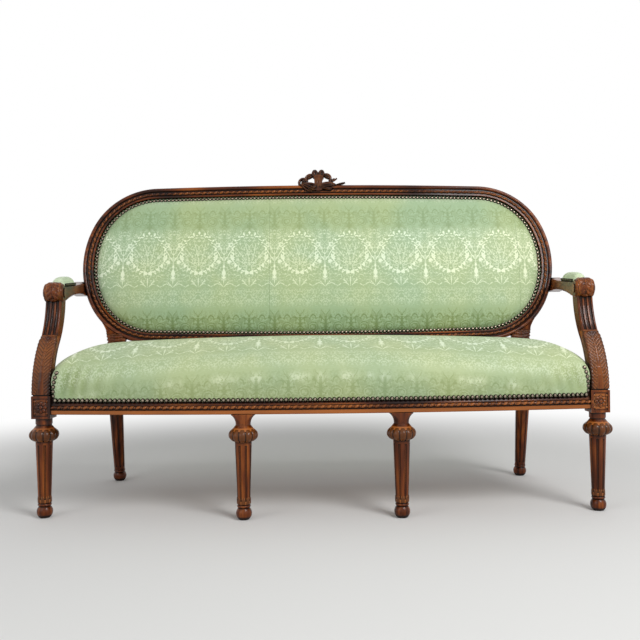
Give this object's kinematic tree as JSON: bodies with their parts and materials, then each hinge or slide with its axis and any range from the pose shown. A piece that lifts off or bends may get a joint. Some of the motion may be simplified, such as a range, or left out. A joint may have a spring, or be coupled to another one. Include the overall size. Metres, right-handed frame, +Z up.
{
  "type": "settee",
  "caption": "Upholstered settee with a wide oval back, carved ribbon crest, padded arms, bowed seat rail and turned fluted legs.",
  "frame": {"origin": "on the floor, under the middle of the settee's bounding box", "axes": "+X to the sitter's left (right in a front view), -Y to the front, +Z up"},
  "size_m": [1.6806, 0.6743, 1.0708],
  "materials": {
    "walnut": "satin",
    "beech": "matte",
    "damask": "satin",
    "jute": "matte",
    "stuffing": "matte",
    "steel": "satin"
  },
  "bodies": {
    "root": {"arm_dowels": "beech", "back_bottom_rail": "walnut", "back_cover": "damask", "back_joint_dowels": "beech", "back_outer_cover": "damask", "back_stuffing": "stuffing", "back_top_rail": "walnut", "back_webbing_level": "jute", "back_webbing_upright": "jute", "corner_brace_screws": "steel", "crest_bow": "walnut", "front_seat_rail": "walnut", "left_arm": "walnut", "left_arm_pad": "damask", "left_arm_support": "walnut", "left_back_lower_corner": "walnut", "left_back_upper_corner": "walnut", "left_cross_rail": "beech", "left_front_corner_brace": "beech", "left_front_corner_leg": "walnut", "left_front_middle_leg": "walnut", "left_rear_corner_brace": "beech", "left_rear_leg_and_post": "walnut", "left_side_rail": "walnut", "rear_seat_rail": "beech", "right_arm": "walnut", "right_arm_pad": "damask", "right_arm_support": "walnut", "right_back_lower_corner": "walnut", "right_back_upper_corner": "walnut", "right_cross_rail": "beech", "right_front_corner_brace": "beech", "right_front_corner_leg": "walnut", "right_front_middle_leg": "walnut", "right_rear_corner_brace": "beech", "right_rear_leg_and_post": "walnut", "right_side_rail": "walnut", "seat_cover": "damask", "seat_hessian": "jute", "seat_springs": "steel", "seat_stuffing": "stuffing", "seat_webbing_front_to_back": "jute", "seat_webbing_side_to_side": "jute"}
  },
  "joints": []
}
